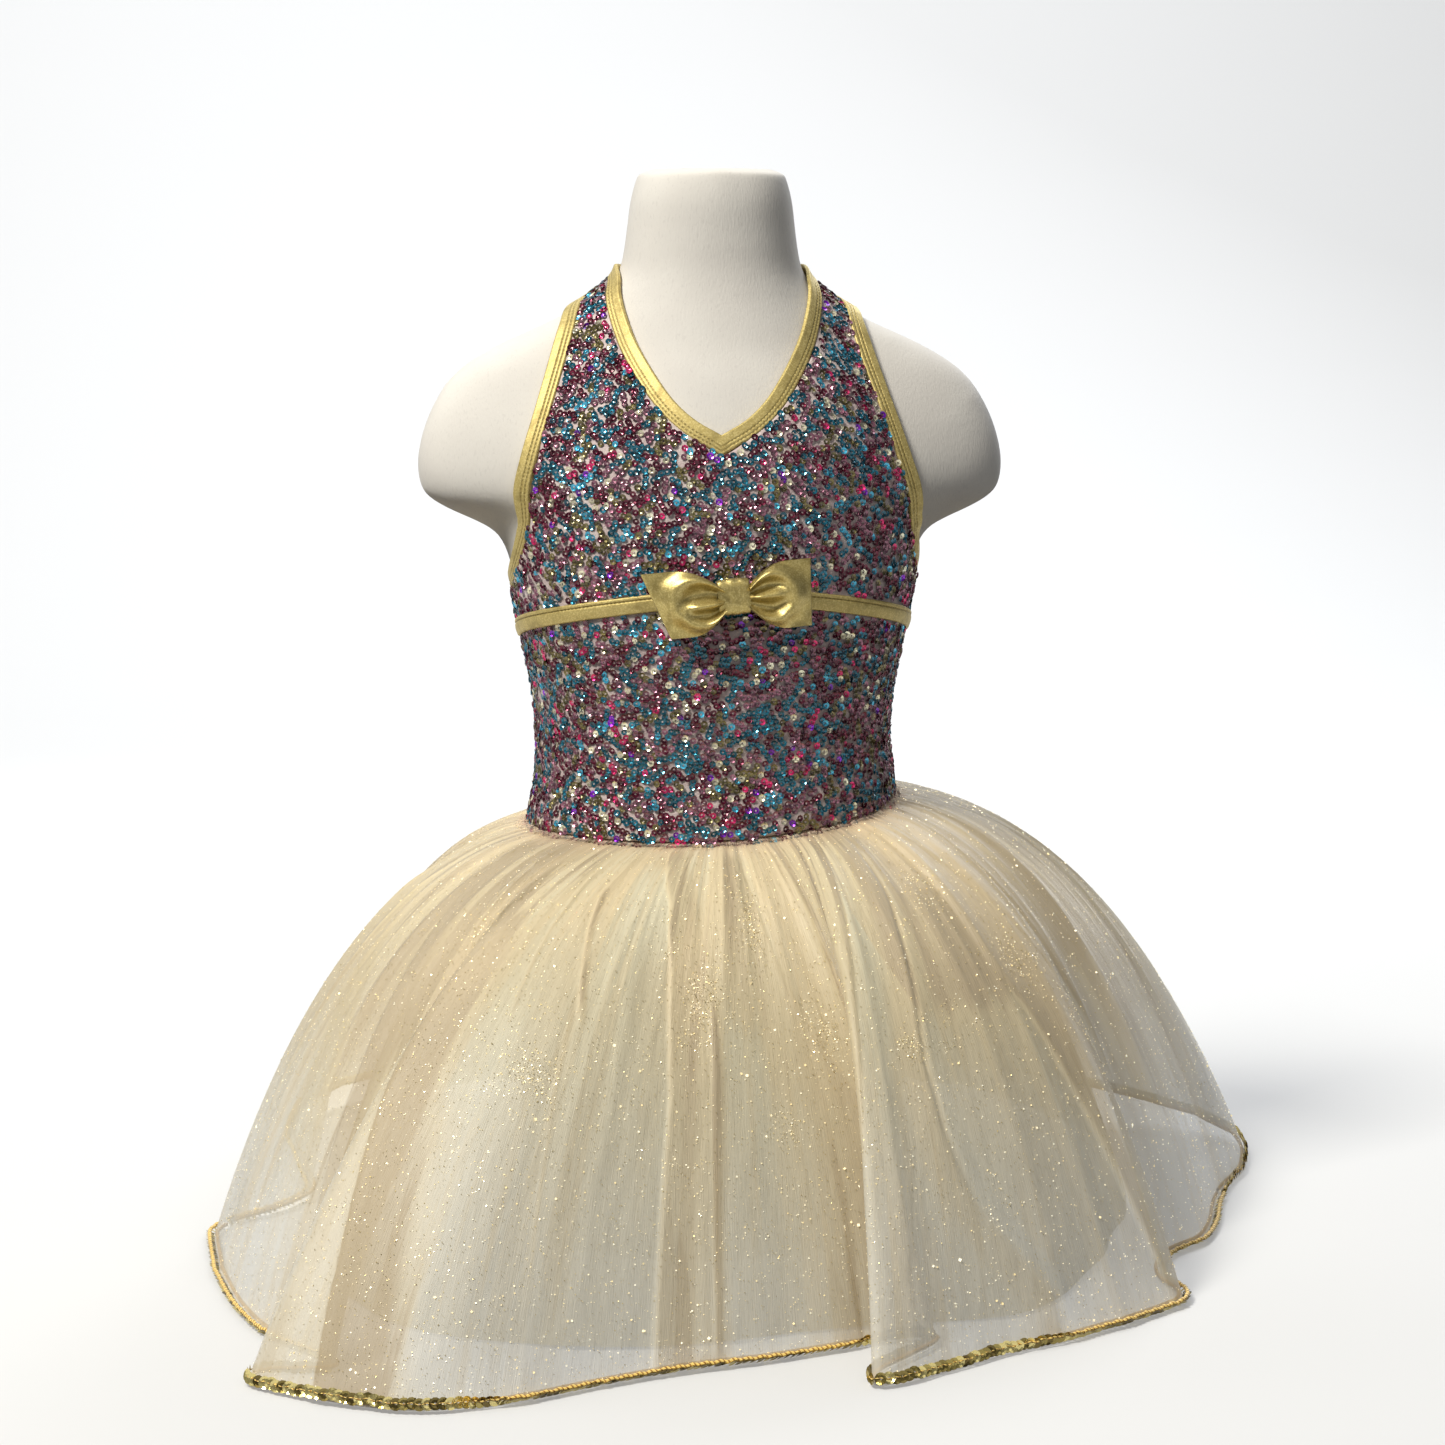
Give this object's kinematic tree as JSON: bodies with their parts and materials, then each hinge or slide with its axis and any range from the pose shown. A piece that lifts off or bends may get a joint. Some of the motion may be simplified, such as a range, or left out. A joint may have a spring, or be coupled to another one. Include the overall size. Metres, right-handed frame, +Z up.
{
  "type": "ballet tutu on dress form",
  "caption": "Child's halter-neck ballet tutu with a sequinned bodice and a short gathered organza skirt, worn on a limbless dress form that stands on its flat base.",
  "frame": {"origin": "on the dress form's flat underside, under the middle of its trunk", "axes": "+Z up, the front of the dress towards -Y, +X to the right of someone who faces its front"},
  "size_m": [0.5301, 0.5515, 0.5],
  "materials": {
    "form_jersey": "matt cotton jersey drawn over a moulded form",
    "sequin_net": "fine net covered with glossy cup sequins in mixed colours",
    "gold_knit": "foiled stretch knit, satin",
    "organza": "sheer organza with glitter",
    "lining": "smooth matt lining",
    "gold_sequins": "metallised gold cup sequins"
  },
  "bodies": {
    "root": {"dress_form": "form_jersey", "bodice_front": "sequin_net", "bodice_back": "sequin_net", "neck_binding": "gold_knit", "armhole_binding": "gold_knit", "back_binding": "gold_knit", "empire_ribbon": "gold_knit", "bow_loop_left": "gold_knit", "bow_loop_right": "gold_knit", "bow_knot": "gold_knit", "skirt_front": "organza", "skirt_back": "organza", "underskirt_front": "lining", "underskirt_back": "lining", "hem_trim_front": "gold_sequins", "hem_trim_back": "gold_sequins"}
  },
  "joints": []
}
